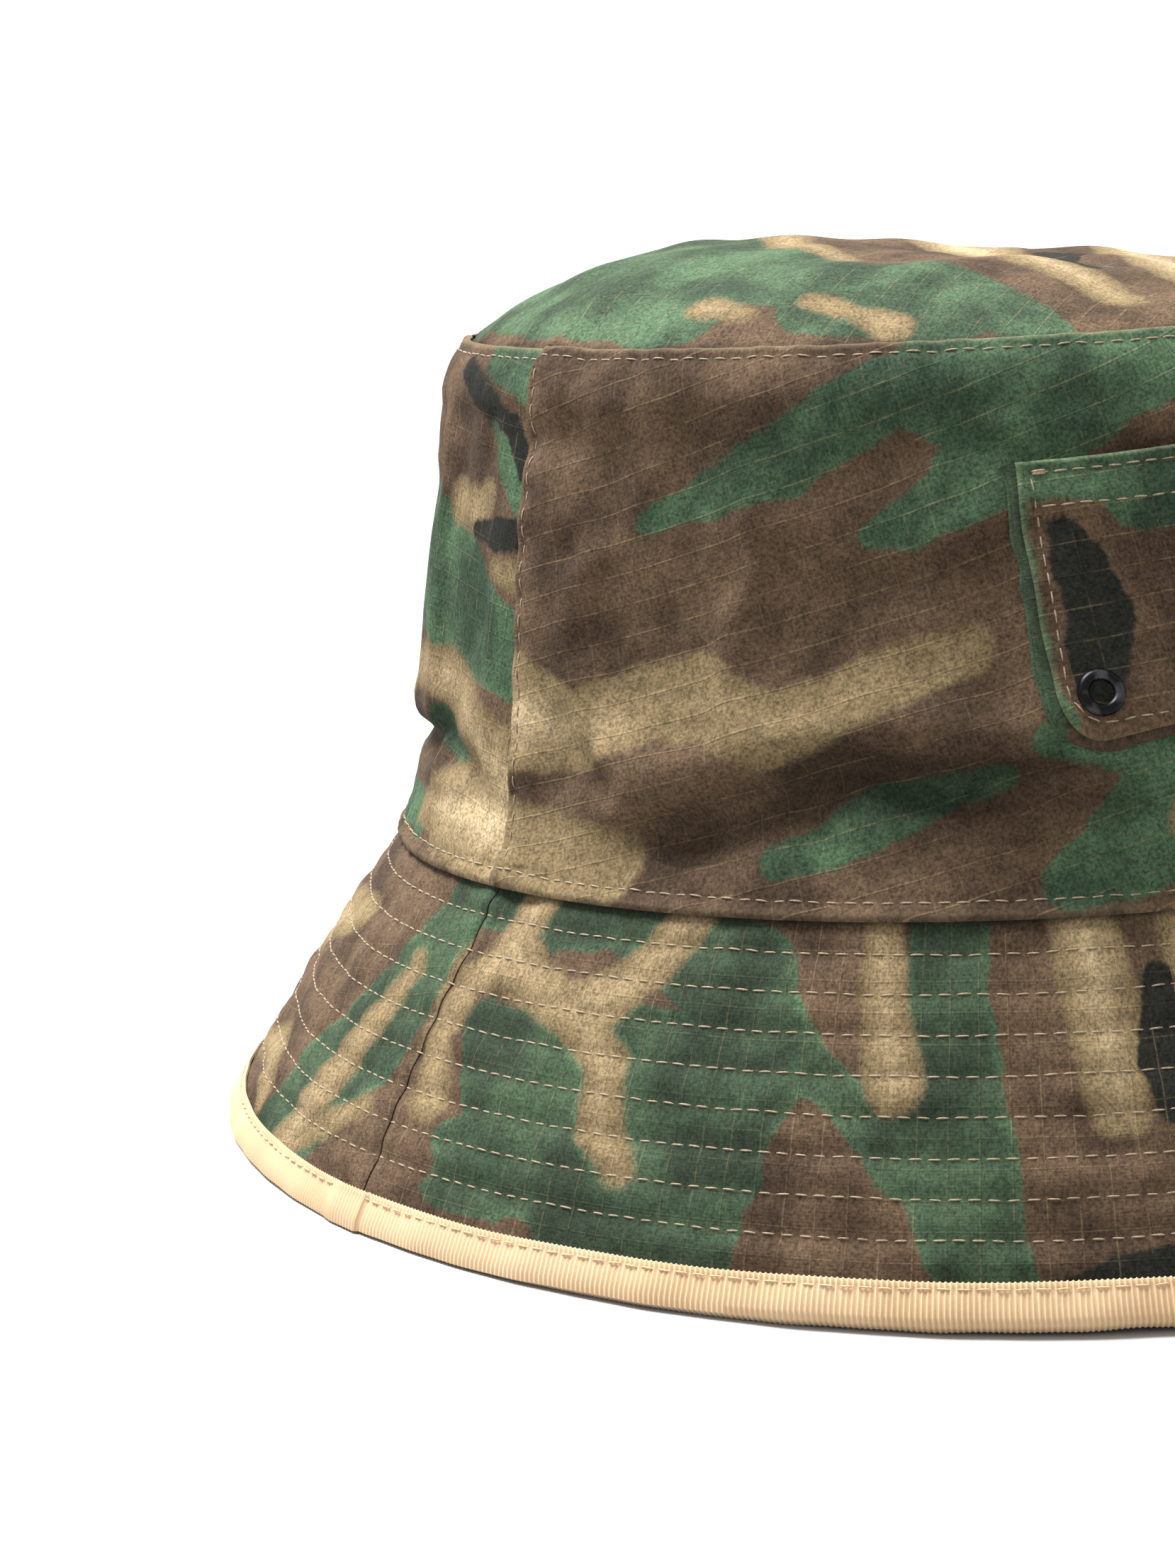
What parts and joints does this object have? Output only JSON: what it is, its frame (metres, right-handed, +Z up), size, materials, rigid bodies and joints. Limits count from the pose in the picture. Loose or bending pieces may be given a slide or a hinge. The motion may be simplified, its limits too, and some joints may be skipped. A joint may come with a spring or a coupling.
{
  "type": "bucket hat",
  "caption": "Soft oval bucket hat in camouflage ripstop: domed crown, stitched downturned brim with a bound edge, and a patch pocket with eyelets on the front.",
  "frame": {"origin": "centre of the bound edge that the hat stands on: bottom centre of its bounding box", "axes": "+Z up through the crown, -Y the way the wearer looks (the pocket's side), +X the wearer's left"},
  "size_m": [0.249, 0.265, 0.1487],
  "materials": {
    "ripstop": "washed ripstop cotton printed in brown, green, khaki and black camouflage, matt",
    "lining": "light cotton twill, matt",
    "sweatband": "cotton twill tape, matt",
    "interlining": "non-woven stiffener, matt",
    "grosgrain": "ribbed grosgrain ribbon, soft sheen",
    "thread": "tan polyester sewing thread",
    "binding_thread": "peach polyester sewing thread",
    "eyelet_metal": "blackened, satin"
  },
  "bodies": {
    "root": {"base_seam_topstitch": "thread", "binding_topstitch": "binding_thread", "brim_edge_binding": "grosgrain", "brim_interlining_back": "interlining", "brim_interlining_front": "interlining", "brim_stitch_row_1": "thread", "brim_stitch_row_2": "thread", "brim_stitch_row_3": "thread", "brim_stitch_row_4": "thread", "brim_stitch_row_5": "thread", "brim_stitch_row_6": "thread", "brim_stitch_row_7": "thread", "brim_stitch_row_8": "thread", "brim_top_back": "ripstop", "brim_top_front": "ripstop", "brim_under_back": "ripstop", "brim_under_front": "ripstop", "crown_back_panel": "ripstop", "crown_front_panel": "ripstop", "crown_tip": "ripstop", "lining_back_panel": "lining", "lining_front_panel": "lining", "lining_tip": "lining", "pocket_bar_tack_left": "thread", "pocket_bar_tack_right": "thread", "pocket_edge_topstitch": "thread", "pocket_eyelet_left": "eyelet_metal", "pocket_eyelet_right": "eyelet_metal", "pocket_eyelet_washer_left": "eyelet_metal", "pocket_eyelet_washer_right": "eyelet_metal", "pocket_face": "ripstop", "pocket_gusset": "ripstop", "pocket_hem_topstitch_lower": "thread", "pocket_hem_topstitch_upper": "thread", "side_seam_topstitch_left": "thread", "side_seam_topstitch_right": "thread", "sweatband": "sweatband", "tip_seam_topstitch": "thread"}
  },
  "joints": []
}
